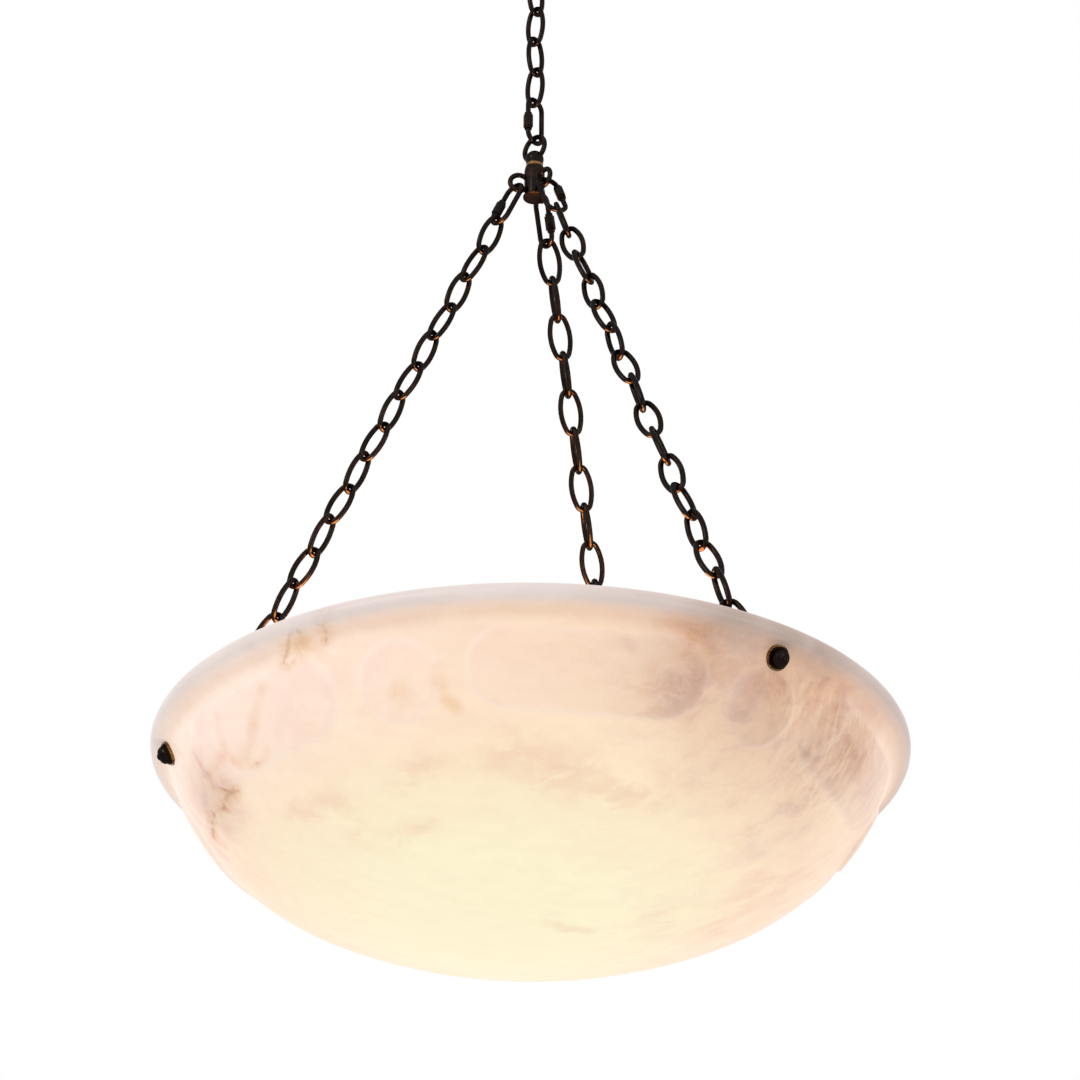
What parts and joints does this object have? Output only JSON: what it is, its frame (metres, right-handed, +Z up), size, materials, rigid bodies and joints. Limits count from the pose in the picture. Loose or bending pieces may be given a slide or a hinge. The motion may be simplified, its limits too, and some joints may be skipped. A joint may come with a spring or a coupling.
{
  "type": "alabaster bowl pendant light",
  "caption": "Hanging uplight: a shallow carved alabaster bowl with a raised boss belt, on chains that meet at a swivel hub, under a short main chain and a round ceiling canopy.",
  "frame": {"origin": "centre of the ceiling bracket's top face, on the ceiling", "axes": "+Z up, square to the ceiling; +X along the bracket; the bowl hangs down -Z"},
  "size_m": [0.508, 0.5079, 0.8938],
  "materials": {
    "bronze": "dark oil-rubbed bronze, satin",
    "alabaster": "polished translucent alabaster, cream to rose, brown and orange veins",
    "brass": "lacquered brass, satin",
    "rubber": "matt black",
    "zinc": "zinc plated",
    "white_paint": "white enamel, satin",
    "porcelain": "white glazed porcelain",
    "bulb_glass": "frosted inside",
    "bulb_base": "satin",
    "nylon": "natural nylon",
    "gland": "black nylon"
  },
  "bodies": {
    "ceiling": {"ceiling_bracket": "zinc", "nipple": "zinc", "nipple_nuts": "zinc", "ground_screw": "brass", "canopy_loop": "bronze"},
    "canopy": {"canopy": "bronze", "canopy_collar": "bronze"},
    "link_1": {"main_link_1": "bronze"},
    "link_2": {"main_link_2": "bronze"},
    "link_3": {"main_link_3": "bronze"},
    "link_4": {"main_link_4": "bronze"},
    "link_5": {"main_link_5": "bronze"},
    "link_6": {"main_link_6": "bronze"},
    "quick_link": {"main_quick_link": "bronze"},
    "main_sleeve": {"main_gate_sleeve": "bronze"},
    "hub_ring": {"hub_ring": "bronze"},
    "hub_head": {"hub_head": "bronze", "hub_washer": "brass", "hub_stud": "zinc", "hub_cap": "bronze"},
    "sleeve_right": {"leg_gate_sleeve_right": "bronze"},
    "sleeve_back": {"leg_gate_sleeve_back": "bronze"},
    "sleeve_left": {"leg_gate_sleeve_left": "bronze"},
    "bowl_and_legs": {"hub_body": "bronze", "leg_quick_link_right": "bronze", "leg_chain_right": "bronze", "leg_quick_link_back": "bronze", "leg_chain_back": "bronze", "leg_quick_link_left": "bronze", "leg_chain_left": "bronze", "leg_end_rings": "bronze", "bowl": "alabaster", "rim_eye_bolts": "bronze", "rim_finials": "bronze", "rim_washers": "brass", "rim_pads": "rubber", "rim_nuts": "zinc", "cluster_arm_right": "white_paint", "cluster_arm_back": "white_paint", "cluster_arm_left": "white_paint", "cluster_pan": "white_paint", "cluster_cover": "white_paint", "arm_screws": "zinc", "arm_screw_nuts": "zinc", "cord_gland": "gland", "gland_nut": "gland", "terminal_block": "nylon", "holder_nuts": "zinc", "lampholder_1": "porcelain", "bulb_base_1": "bulb_base", "bulb_glass_1": "bulb_glass", "lampholder_2": "porcelain", "bulb_base_2": "bulb_base", "bulb_glass_2": "bulb_glass", "lampholder_3": "porcelain", "bulb_base_3": "bulb_base", "bulb_glass_3": "bulb_glass"}
  },
  "joints": [
    {"name": "canopy_drop", "type": "slide", "parent": "ceiling", "child": "canopy", "axis": [0, 0, 1], "range_m": [-0.01, 0]},
    {"name": "link_1_swing", "type": "hinge", "parent": "ceiling", "child": "link_1", "pos_m": [0, 0, -0.0535], "axis": [0.7431, -0.6691, 0], "range_deg": [-14, 14]},
    {"name": "link_2_swing", "type": "hinge", "parent": "link_1", "child": "link_2", "pos_m": [0, 0, -0.08175], "axis": [0.6691, 0.7431, 0], "range_deg": [-14, 14]},
    {"name": "link_3_swing", "type": "hinge", "parent": "link_2", "child": "link_3", "pos_m": [0, 0, -0.1102], "axis": [-0.7431, 0.6691, 0], "range_deg": [-14, 14]},
    {"name": "link_4_swing", "type": "hinge", "parent": "link_3", "child": "link_4", "pos_m": [0, 0, -0.13865], "axis": [-0.6691, -0.7431, 0], "range_deg": [-14, 14]},
    {"name": "link_5_swing", "type": "hinge", "parent": "link_4", "child": "link_5", "pos_m": [0, 0, -0.1671], "axis": [0.7431, -0.6691, 0], "range_deg": [-14, 14]},
    {"name": "link_6_swing", "type": "hinge", "parent": "link_5", "child": "link_6", "pos_m": [0, 0, -0.19555], "axis": [0.6691, 0.7431, 0], "range_deg": [-14, 14]},
    {"name": "quick_link_swing", "type": "hinge", "parent": "link_6", "child": "quick_link", "pos_m": [0, 0, -0.224], "axis": [-0.7431, 0.6691, 0], "range_deg": [-14, 14]},
    {"name": "main_sleeve_open", "type": "slide", "parent": "quick_link", "child": "main_sleeve", "axis": [0, 0, 1], "range_m": [0, 0.0065]},
    {"name": "hub_ring_swing", "type": "hinge", "parent": "quick_link", "child": "hub_ring", "pos_m": [0, 0, -0.2581], "axis": [-0.6691, -0.7431, 0], "range_deg": [-14, 14]},
    {"name": "hub_head_tilt", "type": "hinge", "parent": "hub_ring", "child": "hub_head", "pos_m": [0, 0, -0.2735], "axis": [0.7431, -0.6691, 0], "range_deg": [-12, 12]},
    {"name": "hub_swivel", "type": "hinge", "parent": "hub_head", "child": "bowl_and_legs", "pos_m": [0, 0, -0.28145], "axis": [0, 0, 1], "continuous": true},
    {"name": "sleeve_right_open", "type": "slide", "parent": "bowl_and_legs", "child": "sleeve_right", "axis": [0.2528, -0.3111, -0.9162], "range_m": [0, 0.0065]},
    {"name": "sleeve_back_open", "type": "slide", "parent": "bowl_and_legs", "child": "sleeve_back", "axis": [-0.143, -0.3745, 0.9162], "range_m": [0, 0.0065]},
    {"name": "sleeve_left_open", "type": "slide", "parent": "bowl_and_legs", "child": "sleeve_left", "axis": [0.3958, 0.0634, 0.9162], "range_m": [0, 0.0065]}
  ]
}
